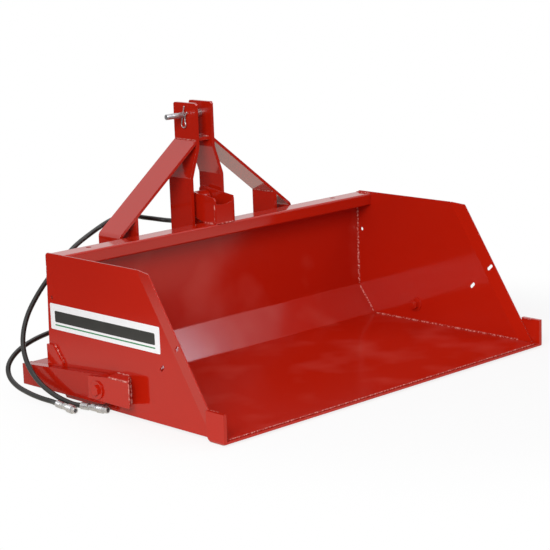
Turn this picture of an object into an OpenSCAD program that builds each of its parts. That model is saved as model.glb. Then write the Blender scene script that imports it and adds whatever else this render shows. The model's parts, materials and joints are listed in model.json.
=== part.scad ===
// Rear tipping bucket for a small tractor: a steel bucket that tips on a three-point frame,
// with a double-acting cylinder between the mast plates and two hoses that end in couplers.
// Millimetres. X runs across, Y from the cutting edge to the tractor, Z up from the ground.
// Places along Y are counted from the front edge of the floor and shifted once, by y_mid.

/* [Bucket] */
// Width over the two side plates
bucket_w = 1400; // [1200:10:1700]
// Depth from the front edge of the floor to the back of the bucket
bucket_d = 806; // [780:1:900]
// Height of the side plates above the ground
side_h = 459; // [440:1:520]
// Height of the bottom edge of the side plates
side_z = 8; // [6:1:10]
// Thickness of the folded sheet and of the side plates
sheet_t = 4; // [3:0.5:6]
// Inner radius of the folds in the sheet
fold_r = 8; // [4:1:16]
// Depth of the sloping part behind the flat floor
slope_d = 76; // [66:1:106]
// Height at which the sloping part of the sheet meets the back
slope_z = 114; // [100:1:130]
// Place of the crease on the top edge of a side plate
crease_y = 363; // [340:1:400]
// Place of the crease at the floor
crease_foot_y = 66; // [60:1:80]
// Width of the flared band at the top
band_top = 59; // [50:1:70]
// Width of the flared band at the floor
band_foot = 50; // [44:1:56]
// How far the front of the band flares out
flare = 7; // [4:0.5:9]
// How far the front top corner drops below the top edge
band_drop = 5; // [0:1:10]
// How far the rear edge of a side plate leans in at the top
rear_inset = 9; // [4:1:14]
// How far the rear edge of a side plate stands behind the sheet at its foot
rear_lip = 5; // [2:1:8]
// Radius of the rear top corner of a side plate
corner_r = 8; // [4:1:12]

/* [Rail] */
// Depth of the box rail along the back
rail_w = 72; // [60:1:80]
// Height of the box rail
rail_h = 42; // [36:1:50]
// Wall of the box rail
rail_t = 4; // [3:0.5:5]
// Drop of the rail below the side plates
rail_drop = 6; // [3:1:12]
// Diameter of the two holes in the rail
rail_hole_d = 18; // [14:1:20]
// Distance of the rail holes from the middle
rail_hole_x = 547; // [450:1:560]
// Distance of the rail holes from the back
rail_hole_back = 26; // [20:1:40]

/* [Cutting edge] */
// Thickness of the cutting edge and its cheeks
edge_t = 12; // [10:1:14]
// Depth of the cutting edge
edge_d = 75; // [68:1:80]
// How far the cutting edge stands ahead of the floor
edge_nose = 10; // [6:1:14]
// Height of the folded cheeks
cheek_h = 94; // [80:1:110]
// Chamfer at the lower rear corner of a cheek
cheek_chamfer = 14; // [8:1:20]
// Length of the ground bevel under the front
bevel_l = 18; // [10:1:24]

/* [Slots and holes] */
// Width of the slotted holes in the side plates
slot_w = 11; // [9:1:14]
// End to end length of the slotted holes
slot_l = 26; // [20:1:32]
// Distance of the plate's slot behind the crease
slot_back = 92; // [80:1:110]
// Diameter of the small hole near the back of a side plate
side_hole_d = 12; // [9:1:14]
// Distance of the small hole from the back
side_hole_back = 24; // [18:1:30]
// Height of the small hole
side_hole_z = 319; // [280:1:350]

/* [Pivot] */
// Place of the pivot from the front edge of the floor
pivot_y = 528; // [515:1:540]
// Height of the pivot
pivot_z = 77; // [74:1:82]
// Diameter of the pivot bolts
bolt_d = 20; // [16:1:24]
// Diameter of the outer disc washers
disc_d = 56; // [48:1:64]
// Thickness of the disc washers
disc_t = 5; // [4:1:6]
// Diameter of the inner washers
inner_disc_d = 50; // [44:1:56]
// Outer thickness of a pivot bracket's plate
bracket_t = 8; // [6:1:10]
// How far a pivot bracket reaches ahead of the pivot
bracket_front = 148; // [130:1:160]
// How far a pivot bracket reaches behind the pivot
bracket_rear = 44; // [36:1:50]
// How far the bracket's front wall slants back to the side plate
bracket_setback = 38; // [20:1:50]
// Distance of the rear edge of the bracket's cap ahead of the pivot
cap_back = 52; // [48:1:64]
// Height of the bracket's cap above the pivot
cap_rise = 46; // [40:1:52]
// Height of the bracket's tail above the pivot
tail_rise = 37; // [33:1:44]
// Depth of the bracket below the pivot
bracket_drop = 33; // [28:1:38]

/* [Frame] */
// Running gap between an arm and the side plate
arm_gap = 2; // [1:0.5:3]
// Width of a side arm
arm_w = 28; // [24:1:34]
// Height of the underside of the arms
arm_z = 28; // [24:1:30]
// Height of an arm at the rear
arm_h = 66; // [60:1:72]
// Radius of the front end of an arm about the pivot
arm_end_r = 45; // [42:1:47]
// Wall of the arms and of the cross beam
beam_t = 5; // [4:0.5:6]
// Depth of the cross beam
beam_d = 92; // [88:1:104]
// Gap between the back of the bucket and the cross beam
beam_gap = 18; // [16:1:30]
// Length of a rest stop along the arm
stop_l = 73; // [60:1:84]
// Length of a rest stop's top edge
stop_top_l = 31; // [20:1:40]
// Height of a rest stop above the arm
stop_h = 76; // [60:1:90]
// Thickness of a rest stop
stop_t = 10; // [6:1:14]

/* [Mast] */
// Depth of the mast plates, braces and hitch ears
mast_d = 109; // [100:1:115]
// How far the mast plates stand out behind the cross beam
mast_out = 18; // [10:1:24]
// Height of the mast above the top pin
mast_over = 40; // [34:1:60]
// Radius of the top corners of the mast plates
mast_corner_r = 8; // [5:1:14]
// Thickness of the mast plates and inner ears
mast_t = 12; // [10:1:14]
// Outer half width of the mast at the top
mast_top_x = 40; // [38:0.5:44]
// Outer half width of the mast below the joggle
mast_low_x = 73.5; // [70:0.5:78]
// Height of the upper bend of the joggle
joggle_top_z = 700; // [690:1:710]
// Height of the lower bend of the joggle
joggle_low_z = 602; // [590:1:620]
// Height of the spacer's upper face
spacer_z = 730; // [724:1:740]
// Thickness of the spacer
spacer_t = 10; // [8:1:12]
// Thickness of the folded braces
brace_t = 10; // [8:1:12]
// Outer face of the outer hitch ears from the middle
ear_x = 385; // [375:1:395]
// Height of the corner where a brace folds down
ear_z = 455; // [440:1:470]
// Clear gap of a lower hitch fork
fork_gap = 58; // [50:1:64]

/* [Hitch] */
// Diameter of the top pin
top_pin_d = 19; // [18:0.5:25]
// Height of the top pin
top_pin_z = 807; // [800:1:815]
// Distance of the hitch points behind the bucket
hitch_back = 74; // [70:1:80]
// Height from the lower hitch points to the top pin
mast_height = 460; // [450:1:480]
// Diameter of the lower hitch holes
hitch_hole_d = 22.4; // [22:0.1:29]
// How far the top pin stands out on the left
pin_tail = 80; // [60:1:90]
// Outer diameter of the sleeve on the top pin
sleeve_d = 26; // [24:0.5:32]
// Wire of the spring clip
clip_d = 4; // [3:0.5:5]
// Length of the spring clip's straight leg above the pin
clip_leg = 31; // [26:1:36]
// Radius of the spring clip's loop
clip_loop_r = 10.5; // [9:0.5:12]
// Distance from the pin to the centre of the clip's loop
clip_drop = 30; // [27:1:34]
// Lean of the spring clip's straight leg
clip_lean = 15; // [0:1:20]

/* [Cylinder] */
// Outer diameter of the barrel
barrel_d = 60; // [56:1:64]
// Bore of the barrel
barrel_bore = 50; // [44:1:52]
// Diameter of the rod
rod_d = 28; // [24:1:32]
// Diameter of the two cylinder pins
cyl_pin_d = 25; // [22:1:26]
// How far the base pin lies ahead of the clevis pin
base_pin_ahead = 7.3; // [4:0.1:9]
// Height of the base pin
base_pin_z = 120; // [118:1:122]
// Distance of the clevis pin behind the bucket
clevis_pin_back = 74; // [73:0.5:76]
// Height of the clevis pin above the rail
clevis_pin_rise = 66; // [65:0.5:70]
// Outer radius of the rod's eye
rod_eye_r = 27; // [26:0.5:30]
// Half width of the rod's eye
rod_eye_x = 32; // [28:0.5:34]
// Bore radius of the rod's eye, with the play that the straight couplings need
rod_eye_bore_r = 20.5; // [20.2:0.1:21]
// Outer half width of the clevis
clevis_x = 45; // [43:0.5:50]
// Thickness of the clevis plates
clevis_t = 8; // [6:1:10]
// Distance of the clevis's front wall ahead of the bucket's back
clevis_ahead = 70; // [64:1:72]
// Distance from the clevis pin to the rear edges of the clevis
clevis_tail = 31; // [28:1:36]
// Height of the clevis above its pin
clevis_head = 36; // [32:1:42]
// Radius of the rear corners of the clevis
clevis_corner_r = 15; // [10:1:18]
// Length of the clevis along the rail
clevis_foot = 65; // [58:1:68]

/* [Hoses] */
// Outer diameter of the hoses
hose_d = 16; // [14:1:18]
// Length of a crimped ferrule
ferrule_l = 40; // [34:1:46]
// Length of a coupler beyond its ferrule
coupler_l = 64; // [56:1:72]
// Largest diameter of a coupler
coupler_d = 27; // [24:1:28]
// Height of the lower port above the base pin
port_low_rise = 45; // [43:1:48]
// Distance from the rod's eye down to the upper port
port_high_drop = 90; // [86:1:92]

/* [Hidden] */

// Facets of round solids, and degrees of a turn
round_fn = 48;
full_turn = 360;
// One overrun serves every cut
over = 2;
// Clearance of pieces that are fastened, of running fits and of the resting stop
fast_gap = 0.2;
run_gap = 0.08;
seat_gap = 0.3;

half_w = bucket_w / 2;
floor_l = bucket_d - slope_d;
beam_rear_y = bucket_d + beam_gap + beam_d;
mast_rear_y = beam_rear_y + mast_out;
hitch_y = bucket_d + hitch_back;
clevis_pin_y = bucket_d + clevis_pin_back;
clevis_front_y = bucket_d - clevis_ahead;
base_pin_y = clevis_pin_y - base_pin_ahead;
mast_h = top_pin_z + mast_over;
y_mid = (mast_rear_y - edge_nose) / 2;
rail_z = side_h - rail_drop;
rail_low_z = rail_z - rail_h;
rail_front_y = bucket_d - rail_w;
arm_in_x = half_w + arm_gap;
arm_out_x = arm_in_x + arm_w;
bracket_x = arm_out_x + arm_gap / 2 + bracket_t;
beam_z = arm_z + arm_h;
mast_front_y = mast_rear_y - mast_d;
lower_pin_z = top_pin_z - mast_height;
cheek_x = half_w + flare + fast_gap + edge_t;
slope_lip = sheet_t * 1.5;
crease_foot = [crease_foot_y, edge_t];
crease_top = [crease_y, side_h];

// Shared functions
function unit(v) = v / norm(v);
function left(v) = [-v[1], v[0]];
function turned(v, a) = [v[0] * cos(a) - v[1] * sin(a), v[0] * sin(a) + v[1] * cos(a)];
function arc(c, r, a0, a1, n = 8) =
    [for (i = [0:n]) let(a = a0 + (a1 - a0) * i / n) c + r * [cos(a), sin(a)]];
function flipped(v) = [for (i = [len(v) - 1:-1:0]) v[i]];
function turn_angle(a, b) = atan2(a[0] * b[1] - a[1] * b[0], a * b);

// One face of a folded strip that lies on the left of path p: d is the face's distance from it
function bend_face(p, t, d, r, n) = [
    for (i = [0:len(p) - 1])
        let(
            u = unit(i == 0 ? p[1] - p[0] : p[i] - p[i - 1]),
            w = i == len(p) - 1 ? u : unit(p[i + 1] - p[i]),
            a = turn_angle(u, w),
            s = sign(a),
            rp = s > 0 ? r + t : r,
            c = p[i] - u * rp * tan(abs(a) / 2) + s * left(u) * rp
        )
        each a == 0 ? [p[i] + left(u) * d]
            : [for (k = [0:n]) c + (rp - s * d) * turned(-s * left(u), a * k / n)]
];
// Outline of a strip of thickness t, folded along p with inner radius r
function strip(p, t, r, n = 6) = concat(bend_face(p, t, 0, r, n), flipped(bend_face(p, t, t, r, n)));
// Point where a line from p touches a circle: side 1 passes left of the centre, -1 right of it
function touch(p, c, r, side) =
    let(v = c - p, a = atan2(v[1], v[0]) + side * asin(r / norm(v))) c + side * r * left([cos(a), sin(a)]);

// Smooth line through points, with n steps a stretch
function spline(p, i, t) =
    let(
        a = p[max(i - 1, 0)], b = p[i], c = p[i + 1], d = p[min(i + 2, len(p) - 1)],
        h = 0.5
    )
    h * ((2 * b) + (c - a) * t + (2 * a - 5 * b + 4 * c - d) * t * t + (3 * b - a - 3 * c + d) * t * t * t);
function smooth(p, n) =
    concat([for (i = [0:len(p) - 2], k = [0:n - 1]) spline(p, i, k / n)], [p[len(p) - 1]]);
function heading(q, i, u0, u1) =
    i == 0 ? u0 : i == len(q) - 1 ? u1 : unit(q[i + 1] - q[i - 1]);

module shift() translate([0, -y_mid, 0]) children();
module both_sides() for (s = [0, 1]) mirror([s, 0, 0]) children();
module other_side() mirror([1, 0, 0]) children();
// An outline in Y and Z, drawn out along X from x to x + t
module slab(x, t) translate([x, 0, 0]) rotate([90, 0, 90]) linear_extrude(t) children();
// An outline in X and Z, drawn out along Y from y to y + d
module bar(y, d) translate([0, y + d, 0]) rotate([90, 0, 0]) linear_extrude(d) children();
module rod_x(r, x, l) translate([x, 0, 0]) rotate([0, 90, 0]) cylinder(r = r, h = l, $fn = round_fn);
// A round pin along X with chamfered ends
pin_edge = 1.5;
module pin_x(r, x, l) translate([x, 0, 0]) rotate([0, 90, 0]) rotate_extrude($fn = round_fn)
    polygon([[0, 0], [r - pin_edge, 0], [r, pin_edge], [r, l - pin_edge], [r - pin_edge, l], [0, l]]);
module rod_y(r, y, l) translate([0, y, 0]) rotate([-90, 0, 0]) cylinder(r = r, h = l, $fn = round_fn);
module disc(r) circle(r = r, $fn = round_fn);

// A tube swept along points q, closed at both ends, which are square to u0 and u1
module tube(q, r, sides, u0, u1) {
    lean = [1, -1, 1];
    rings = [for (i = [0:len(q) - 1])
        let(h = heading(q, i, u0, u1), n = unit(cross(h, lean)), b = cross(h, n))
        [for (k = [0:sides - 1]) let(a = full_turn * k / sides) q[i] + r * (cos(a) * n + sin(a) * b)]];
    last = len(q) - 1;
    walls = [for (i = [0:last - 1], k = [0:sides - 1])
        let(a = i * sides + k, b = i * sides + (k + 1) % sides)
        each [[a, a + sides, b + sides], [a, b + sides, b]]];
    caps = [[for (k = [0:sides - 1]) k], [for (k = [sides - 1:-1:0]) last * sides + k]];
    polyhedron(points = [for (g = rings) each g], faces = concat(walls, caps), convexity = 10);
}

module red() color("firebrick") children();
module steel() color("silver") children();

// Bucket: floor, slope and back are one folded sheet
module bucket_shell() red() shift()
    slab(-half_w + sheet_t, bucket_w - 2 * sheet_t)
        polygon(strip([
            [0, edge_t], [floor_l, edge_t], [bucket_d, slope_z], [bucket_d, rail_low_z]
        ], sheet_t, fold_r));

module slot2d(at) translate(at) rotate(135) {
    square([slot_l - slot_w, slot_w], center = true);
    for (s = [-1, 1]) translate([s * (slot_l - slot_w) / 2, 0]) circle(d = slot_w, $fn = round_fn / 2);
}

// Side plates: a flat plate and a flared band, with a crease between them
crease_dir = unit(crease_top - crease_foot);
band_perp = band_top * crease_dir[1];
flare_a = asin(flare / band_perp);
// Shares along the crease and across the band at which the slots lie
band_slot_shares = [0.53, 0.5];
plate_slot_share = 0.3714;
band_slot = crease_foot + (crease_top - crease_foot) * band_slot_shares[0]
    - [band_top * band_slot_shares[1], 0];
plate_slot = crease_foot + (crease_top - crease_foot) * plate_slot_share + [slot_back, 0];
relief = sheet_t;
relief_foot = crease_top - crease_dir * relief;
edge_back = edge_d - edge_nose;
// The band laps the plate a little behind the crease, and stands clear of the cutting edge
band_lap = [sheet_t / 4, 0];
band_rise = [0, seat_gap];

module side_plate() {
    rear_edge = [[bucket_d + rear_lip, slope_z - slope_lip], [bucket_d - rear_inset, side_h],
        [crease_y + relief / 2, side_h]];
    slab(-half_w, sheet_t) difference() {
        polygon(concat([
            crease_foot, [edge_back + fast_gap, edge_t], [edge_back + fast_gap, side_z],
            [floor_l + slope_lip, side_z]
        ], bend_face(rear_edge, 0, 0, corner_r, 6), [relief_foot]));
        translate([pivot_y, pivot_z]) disc(bolt_d / 2 + fast_gap);
        translate([bucket_d - side_hole_back, side_hole_z]) disc(side_hole_d / 2);
        slot2d(plate_slot);
    }
    translate([-half_w, crease_foot[0], crease_foot[1]])
        rotate(a = -flare_a, v = [0, crease_dir[0], crease_dir[1]])
            translate([0, -crease_foot[0], -crease_foot[1]])
                slab(0, sheet_t) difference() {
                    polygon([
                        crease_foot + band_lap, crease_foot - [band_foot, 0] + band_rise,
                        crease_top - [band_top, band_drop], crease_top - [relief, 0],
                        relief_foot + band_lap
                    ]);
                    slot2d(band_slot);
                }
}
module side_plate_left() red() shift() side_plate();
module side_plate_right() red() shift() other_side() side_plate();

// Box rail along the back, with rounded outer corners
function box_outline(w, h, r) = concat(
    arc([w - r, h - r], r, 0, 90, 5), arc([r, h - r], r, 90, 180, 5),
    arc([r, r], r, 180, 270, 5), arc([w - r, r], r, 270, 360, 5));
module top_rail() red() shift() difference() {
    slab(-half_w + sheet_t, bucket_w - 2 * sheet_t) translate([rail_front_y, rail_low_z]) difference() {
        polygon(box_outline(rail_w, rail_h, rail_t * 1.5));
        translate([rail_t, rail_t]) square([rail_w - 2 * rail_t, rail_h - 2 * rail_t]);
    }
    both_sides() translate([rail_hole_x, bucket_d - rail_hole_back, rail_low_z - over])
        cylinder(d = rail_hole_d, h = rail_h + 2 * over, $fn = round_fn);
}

// Cutting edge: one plate with both ends folded up, a bevelled nose and chamfered cheeks
bevel_rise = edge_t / 2 / bevel_l;
chamfer_share = 1.7;
module cutting_edge() red() shift() difference() {
    bar(-edge_nose, edge_d)
        polygon(strip([
            [-cheek_x, cheek_h], [-cheek_x, 0], [cheek_x, 0], [cheek_x, cheek_h]
        ], edge_t, edge_t / 12, 5));
    slab(-cheek_x - over, 2 * (cheek_x + over)) {
        polygon([[-edge_nose - over, bevel_rise * (bevel_l + over)], [-edge_nose - over, -over],
            [-edge_nose + bevel_l + over / bevel_rise, -over]]);
    }
    both_sides() slab(-cheek_x - over, 2 * edge_t + over) polygon([
        [edge_back - cheek_chamfer - over / chamfer_share, -over], [edge_back + over, -over],
        [edge_back + over, chamfer_share * (cheek_chamfer + over)]
    ]);
}

// Skids: flat bars under the floor, level with the cutting edge's underside
skid_x = half_w * 0.62;
skid_w = edge_t * 5;
skid_l = floor_l - edge_back - 2 * edge_t;
module skid() translate([-skid_x - skid_w / 2, edge_back + edge_t / 2, 0]) cube([skid_w, skid_l, edge_t]);
module skid_left() red() shift() skid();
module skid_right() red() shift() other_side() skid();

// Pivot brackets: an outer plate with a slanting front wall and a cap, outside the arm's end
bracket_front_y = pivot_y - bracket_front;
bracket_rear_y = pivot_y + bracket_rear;
bracket_foot_y = bracket_front_y + bracket_setback;
bracket_low_z = pivot_z - bracket_drop;
bracket_cap_z = pivot_z + cap_rise;
bracket_tail_z = pivot_z + tail_rise;
cap_rear_y = pivot_y - cap_back;
module pivot_bracket() {
    wall_dir = unit([bracket_x - half_w, bracket_setback]);
    wall_run = bracket_t / wall_dir[0];
    difference() {
        intersection() {
            translate([0, 0, bracket_low_z]) linear_extrude(bracket_cap_z - bracket_low_z) polygon([
                [-bracket_x, bracket_rear_y], [-bracket_x, bracket_front_y], [-half_w, bracket_foot_y],
                [-half_w, bracket_foot_y + wall_run],
                [-bracket_x + bracket_t, bracket_front_y + wall_run + bracket_t * wall_dir[1] / wall_dir[0]],
                [-bracket_x + bracket_t, bracket_rear_y]
            ]);
            slab(-bracket_x - over, bracket_x + over) polygon([
                [bracket_front_y - over, bracket_low_z], [bracket_rear_y + over, bracket_low_z],
                [bracket_rear_y + over, bracket_tail_z], [bracket_rear_y, bracket_tail_z],
                [cap_rear_y, bracket_cap_z], [bracket_front_y - over, bracket_cap_z]
            ]);
        }
        translate([0, pivot_y, pivot_z])
            rod_x(bolt_d / 2 + fast_gap, -bracket_x - over, bracket_t + 2 * over);
    }
    intersection() {
        translate([0, 0, bracket_cap_z]) linear_extrude(bracket_t) polygon([
            [-bracket_x, cap_rear_y], [-bracket_x, bracket_front_y], [-half_w, bracket_foot_y],
            [-half_w, cap_rear_y]
        ]);
        bar(bracket_front_y, cap_rear_y - bracket_front_y) polygon([
            [-half_w, bracket_cap_z], [-half_w, bracket_cap_z + bracket_t],
            [-bracket_x + bracket_t / 2, bracket_cap_z + bracket_t * 0.6],
            [-bracket_x, bracket_cap_z + bracket_t / 4], [-bracket_x, bracket_cap_z]
        ]);
    }
}
module pivot_bracket_left() red() shift() pivot_bracket();
module pivot_bracket_right() red() shift() other_side() pivot_bracket();

// Rest stops: thick plates on the side plates that lie on the arms at rest
arm_top_z = beam_z;
arm_nose = touch([beam_rear_y, arm_top_z], [pivot_y, pivot_z], arm_end_r, -1);
arm_chin = touch([beam_rear_y, arm_z], [pivot_y, pivot_z], arm_end_r, 1);
arm_rise = (arm_nose[1] - arm_top_z) / (beam_rear_y - arm_nose[0]);
function arm_top_at(y) = arm_top_z + (beam_rear_y - y) * arm_rise;
stop_y2 = bucket_d + rear_lip / 2;
stop_y1 = stop_y2 - stop_top_l;
stop_y0 = stop_y2 - stop_l;
stop_z = beam_z + stop_h;
module rest_stop() slab(-half_w - stop_t, stop_t) polygon([
    [stop_y0, arm_top_at(stop_y0) + seat_gap], [stop_y2, arm_top_at(stop_y2) + seat_gap],
    [stop_y2, stop_z], [stop_y1, stop_z], [stop_y0, arm_top_at(stop_y0) + seat_gap + stop_t]
]);
module rest_stop_left() red() shift() rest_stop();
module rest_stop_right() red() shift() other_side() rest_stop();

// Pivot hardware, from the outside in: bolt head, disc, bracket, bushed arm, plate, washer, nut
disc_x = bracket_x + disc_t;
head_t = bolt_d * 0.4;
nut_t = bolt_d * 0.8;
wash_t = 3;
bush_t = 5.5;
nut_x = half_w - sheet_t - wash_t - nut_t;
bush_r = bolt_d / 2 + run_gap + bush_t;
hex_lean = 30;
module hex(af) circle(r = af / sqrt(3), $fn = 6);
// A hexagon head or nut whose far end is turned off round
module hex_head(af, h) intersection() {
    linear_extrude(h) hex(af);
    rotate_extrude($fn = round_fn)
        polygon([[0, -over], [af, -over], [af, h - af / 2 * tan(hex_lean)], [af / 2, h], [0, h]]);
}
module at_pivot() shift() both_sides() translate([0, pivot_y, pivot_z]) children();
module pivot_bolts() red() at_pivot() {
    pin_x(bolt_d / 2, -disc_x - over, disc_x + over - nut_x + wash_t);
    translate([-disc_x, 0, 0]) rotate([0, -90, 0]) hex_head(bolt_d * 1.5, head_t);
}
module ring_x(r, hole_r, x, t) translate([x, 0, 0]) rotate([0, 90, 0]) difference() {
    cylinder(r = r, h = t, $fn = round_fn);
    translate([0, 0, -over]) cylinder(r = hole_r, h = t + 2 * over, $fn = round_fn);
}
module pivot_discs() red() at_pivot() ring_x(disc_d / 2, bolt_d / 2 + fast_gap, -disc_x, disc_t);
module pivot_inner_washers() red() at_pivot()
    ring_x(inner_disc_d / 2, bolt_d / 2 + fast_gap, -half_w + sheet_t, wash_t);
module pivot_nuts() red() at_pivot() translate([-half_w + sheet_t + wash_t, 0, 0]) rotate([0, 90, 0])
    difference() {
        hex_head(bolt_d * 1.5, nut_t);
        translate([0, 0, -over]) cylinder(r = bolt_d / 2, h = nut_t + 2 * over, $fn = round_fn);
    }
module pivot_bushes() steel() at_pivot() ring_x(bush_r, bolt_d / 2 + run_gap, -arm_out_x, arm_w);

// Side arms: tapered box arms, open at the rear, with a solid end round the bush
arm_cave_y = pivot_y + arm_end_r;
module arm() {
    nose = arm_nose - [pivot_y, pivot_z];
    chin = arm_chin - [pivot_y, pivot_z];
    difference() {
        slab(-arm_out_x, arm_w) polygon(concat(
            [[beam_rear_y, arm_z], [beam_rear_y, arm_top_z]],
            arc([pivot_y, pivot_z], arm_end_r,
                atan2(nose[1], nose[0]), atan2(chin[1], chin[0]) + full_turn, 24)
        ));
        slab(-arm_out_x + beam_t, arm_w - 2 * beam_t) polygon([
            [arm_cave_y, arm_top_at(arm_cave_y) - beam_t], [arm_cave_y, pivot_z - arm_end_r + beam_t * 1.5],
            [beam_rear_y + over, arm_z + beam_t], [beam_rear_y + over, arm_top_z - beam_t]
        ]);
        translate([0, pivot_y, pivot_z]) rod_x(bush_r, -arm_out_x - over, arm_w + 2 * over);
    }
}
module arm_left() red() shift() arm();
module arm_right() red() shift() other_side() arm();

// Cross beam: a box tube between the arms
module cross_beam() red() shift() slab(-arm_in_x, 2 * arm_in_x)
    translate([beam_rear_y - beam_d, arm_z]) difference() {
        polygon(box_outline(beam_d, arm_h, beam_t * 1.5));
        translate([beam_t, beam_t]) square([beam_d - 2 * beam_t, arm_h - 2 * beam_t]);
    }

// Mast: two joggled plates with the pin holes, and a spacer between them
module mast_outline() polygon(concat(
    [[mast_front_y, beam_z], [mast_rear_y, beam_z]],
    arc([mast_rear_y - mast_corner_r, mast_h - mast_corner_r], mast_corner_r, 0, 90, 6),
    arc([mast_front_y + mast_corner_r, mast_h - mast_corner_r], mast_corner_r, 90, 180, 6)
));
module mast_plate() difference() {
    intersection() {
        bar(mast_front_y, mast_d) polygon(strip([[-mast_top_x, mast_h], [-mast_top_x, joggle_top_z],
            [-mast_low_x, joggle_low_z], [-mast_low_x, beam_z]], mast_t, mast_t));
        slab(-mast_low_x - over, mast_low_x + over) mast_outline();
    }
    translate([0, hitch_y, top_pin_z]) rod_x(top_pin_d / 2 + fast_gap, -mast_low_x, mast_low_x);
}
module mast_plate_left() red() shift() mast_plate();
module mast_plate_right() red() shift() other_side() mast_plate();
module mast_spacer() red() shift() slab(-mast_top_x + mast_t, 2 * (mast_top_x - mast_t))
    translate([mast_front_y + mast_t, spacer_z - spacer_t]) square([mast_d - 2 * mast_t, spacer_t]);

// Braces: flat bars that run down from the mast and fold into the outer hitch ears
brace_top_z = spacer_z - spacer_t / 2;
brace_dir = unit([-(ear_x - mast_top_x), ear_z - brace_top_z]);
function brace_under(x) = brace_top_z - (x - mast_top_x) * brace_dir[1] / brace_dir[0]
    - brace_t / abs(brace_dir[0]);
module hitch_hole() translate([0, hitch_y, lower_pin_z])
    rod_x(hitch_hole_d / 2, -ear_x - over, ear_x);
module brace() difference() {
    bar(mast_front_y, mast_d) intersection() {
        polygon(strip([[-mast_top_x, brace_top_z] - brace_dir * 2 * brace_t, [-ear_x, ear_z],
            [-ear_x, beam_z]], brace_t, brace_t));
        translate([-half_w, 0]) square([half_w - mast_top_x, mast_h]);
    }
    hitch_hole();
}
module brace_left() red() shift() brace();
module brace_right() red() shift() other_side() brace();

ear_in_x = ear_x - brace_t - fork_gap;
module hitch_ear() difference() {
    bar(mast_front_y, mast_d) polygon([
        [-ear_in_x, beam_z], [-ear_in_x + mast_t, beam_z],
        [-ear_in_x + mast_t, brace_under(ear_in_x - mast_t)], [-ear_in_x, brace_under(ear_in_x)]
    ]);
    hitch_hole();
}
module hitch_ear_left() red() shift() hitch_ear();
module hitch_ear_right() red() shift() other_side() hitch_ear();

// Cylinder mounting on the beam
lug_wall = 9.5;
lug_r = cyl_pin_d / 2 + lug_wall;
eye_x = 25;
eye_gap = 2;
lug_x = eye_x + eye_gap;
lug_t = 10;
ring_t = 3;
ring_wall = 4;
module cylinder_lugs() red() shift() both_sides() slab(-lug_x - lug_t, lug_t) difference() {
    union() {
        translate([base_pin_y, base_pin_z]) disc(lug_r);
        translate([base_pin_y - lug_r, beam_z]) square([2 * lug_r, base_pin_z - beam_z]);
    }
    translate([base_pin_y, base_pin_z]) disc(cyl_pin_d / 2 + fast_gap);
}
pin_over = 4;
module base_pin() steel() shift() translate([0, base_pin_y, base_pin_z])
    pin_x(cyl_pin_d / 2, -lug_x - lug_t - ring_t - pin_over, 2 * (lug_x + lug_t + ring_t + pin_over));
module base_pin_rings() steel() shift() translate([0, base_pin_y, base_pin_z]) both_sides()
    ring_x(cyl_pin_d / 2 + ring_wall, cyl_pin_d / 2, -lug_x - lug_t - ring_t, ring_t);

// Cylinder: barrel with its foot eye, gland, rod with its eye, and piston
clevis_pin_z = rail_z + clevis_pin_rise;
rod_eye_rise = 1;
rod_eye_z = clevis_pin_z + rod_eye_rise;
port_low_z = base_pin_z + port_low_rise;
port_high_z = rod_eye_z - port_high_drop;
barrel_gap = 1;
barrel_z = base_pin_z + lug_r + barrel_gap;
gland_wall = 18;
barrel_end_z = port_high_z + gland_wall;
barrel_foot_t = 15;
bore_z = barrel_z + barrel_foot_t;
foot_r = base_pin_z - beam_z - eye_gap;
port_r = 4;
gland_t = 22;
gland_in = 6;
gland_top_z = barrel_end_z + gland_t;
piston_rest = 20;
piston_z = bore_z + piston_rest;
piston_t = 22;
module at_cylinder(z) translate([0, base_pin_y, z]) children();
module cylinder_barrel() red() shift() difference() {
    union() {
        at_cylinder(barrel_z) cylinder(d = barrel_d, h = barrel_end_z - barrel_z, $fn = round_fn);
        at_cylinder(base_pin_z) cylinder(r = foot_r, h = barrel_z - base_pin_z + over, $fn = round_fn);
        at_cylinder(base_pin_z) rod_x(foot_r, -eye_x, 2 * eye_x);
    }
    at_cylinder(bore_z) cylinder(d = barrel_bore, h = barrel_end_z - bore_z + over, $fn = round_fn);
    at_cylinder(base_pin_z) rod_x(cyl_pin_d / 2 + run_gap, -eye_x - over, 2 * (eye_x + over));
    for (z = [port_low_z, port_high_z]) at_cylinder(z) rod_y(port_r, 0, barrel_d);
}
module cylinder_gland() red() shift() at_cylinder(barrel_end_z) difference() {
    union() {
        cylinder(d = barrel_d, h = gland_t, $fn = round_fn);
        translate([0, 0, -gland_in]) cylinder(d = barrel_bore, h = gland_in + over, $fn = round_fn);
    }
    translate([0, 0, -gland_in - over])
        cylinder(r = rod_d / 2 + run_gap, h = gland_t + gland_in + 2 * over, $fn = round_fn);
}
rod_foot_z = piston_z + piston_t - over;
neck_l = 10;
neck_z = rod_eye_z - rod_eye_r - neck_l;
module cylinder_rod() steel() shift() {
    at_cylinder(rod_foot_z) cylinder(d = rod_d, h = neck_z - rod_foot_z, $fn = round_fn);
    at_cylinder(rod_foot_z - piston_t + over) cylinder(d = rod_d / 2, h = piston_t, $fn = round_fn);
}
module rod_eye() red() shift() difference() {
    union() {
        at_cylinder(neck_z) cylinder(d = rod_d * 1.4, h = neck_l + over, $fn = round_fn);
        at_cylinder(rod_eye_z) rod_x(rod_eye_r, -rod_eye_x, 2 * rod_eye_x);
    }
    at_cylinder(rod_eye_z) rod_x(rod_eye_bore_r, -rod_eye_x - over, 2 * (rod_eye_x + over));
}
module cylinder_piston() steel() shift() at_cylinder(piston_z) difference() {
    cylinder(r = barrel_bore / 2 - run_gap, h = piston_t - over, $fn = round_fn);
    translate([0, 0, -over]) cylinder(d = rod_d / 2, h = piston_t + over, $fn = round_fn);
}

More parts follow.
